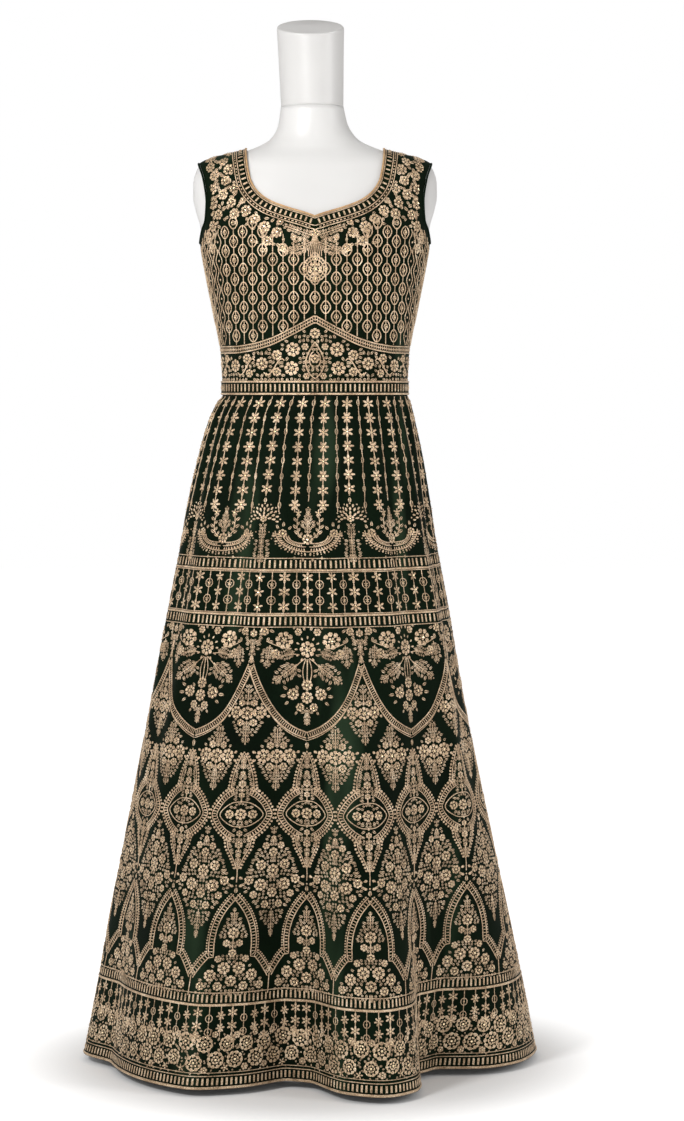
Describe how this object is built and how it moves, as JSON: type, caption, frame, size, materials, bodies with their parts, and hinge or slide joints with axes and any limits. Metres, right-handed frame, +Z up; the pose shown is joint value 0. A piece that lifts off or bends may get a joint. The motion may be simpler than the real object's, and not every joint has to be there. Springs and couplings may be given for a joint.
{
  "type": "anarkali gown on a limbless dress form",
  "caption": "Sleeveless floor-length anarkali gown in dark green with beige-gold embroidery, fitted bodice, flared panelled skirt, worn by a limbless dress form on a pole stand.",
  "frame": {"origin": "centre of the stand base's underside, on the floor", "axes": "+Z up, the gown's front faces -Y, +X towards the viewer's right"},
  "size_m": [0.6581, 0.5724, 1.512],
  "materials": {
    "gown_cloth": "matte net with embroidery",
    "gold_border": "metallic thread",
    "green_piping": "satin",
    "form_white": "satin",
    "stand_white": "satin"
  },
  "bodies": {
    "root": {"skirt_panel_01": "gown_cloth", "skirt_panel_02": "gown_cloth", "skirt_panel_03": "gown_cloth", "skirt_panel_04": "gown_cloth", "skirt_panel_05": "gown_cloth", "skirt_panel_06": "gown_cloth", "skirt_panel_07": "gown_cloth", "skirt_panel_08": "gown_cloth", "skirt_panel_09": "gown_cloth", "skirt_panel_10": "gown_cloth", "bodice_front": "gown_cloth", "bodice_back": "gown_cloth", "waist_band_front": "gold_border", "waist_band_back": "gold_border", "neck_piping": "gold_border", "armhole_piping_left": "green_piping", "armhole_piping_right": "green_piping", "form_torso": "form_white", "form_neck_block": "form_white", "stand_pole": "stand_white", "stand_base": "stand_white"}
  },
  "joints": []
}
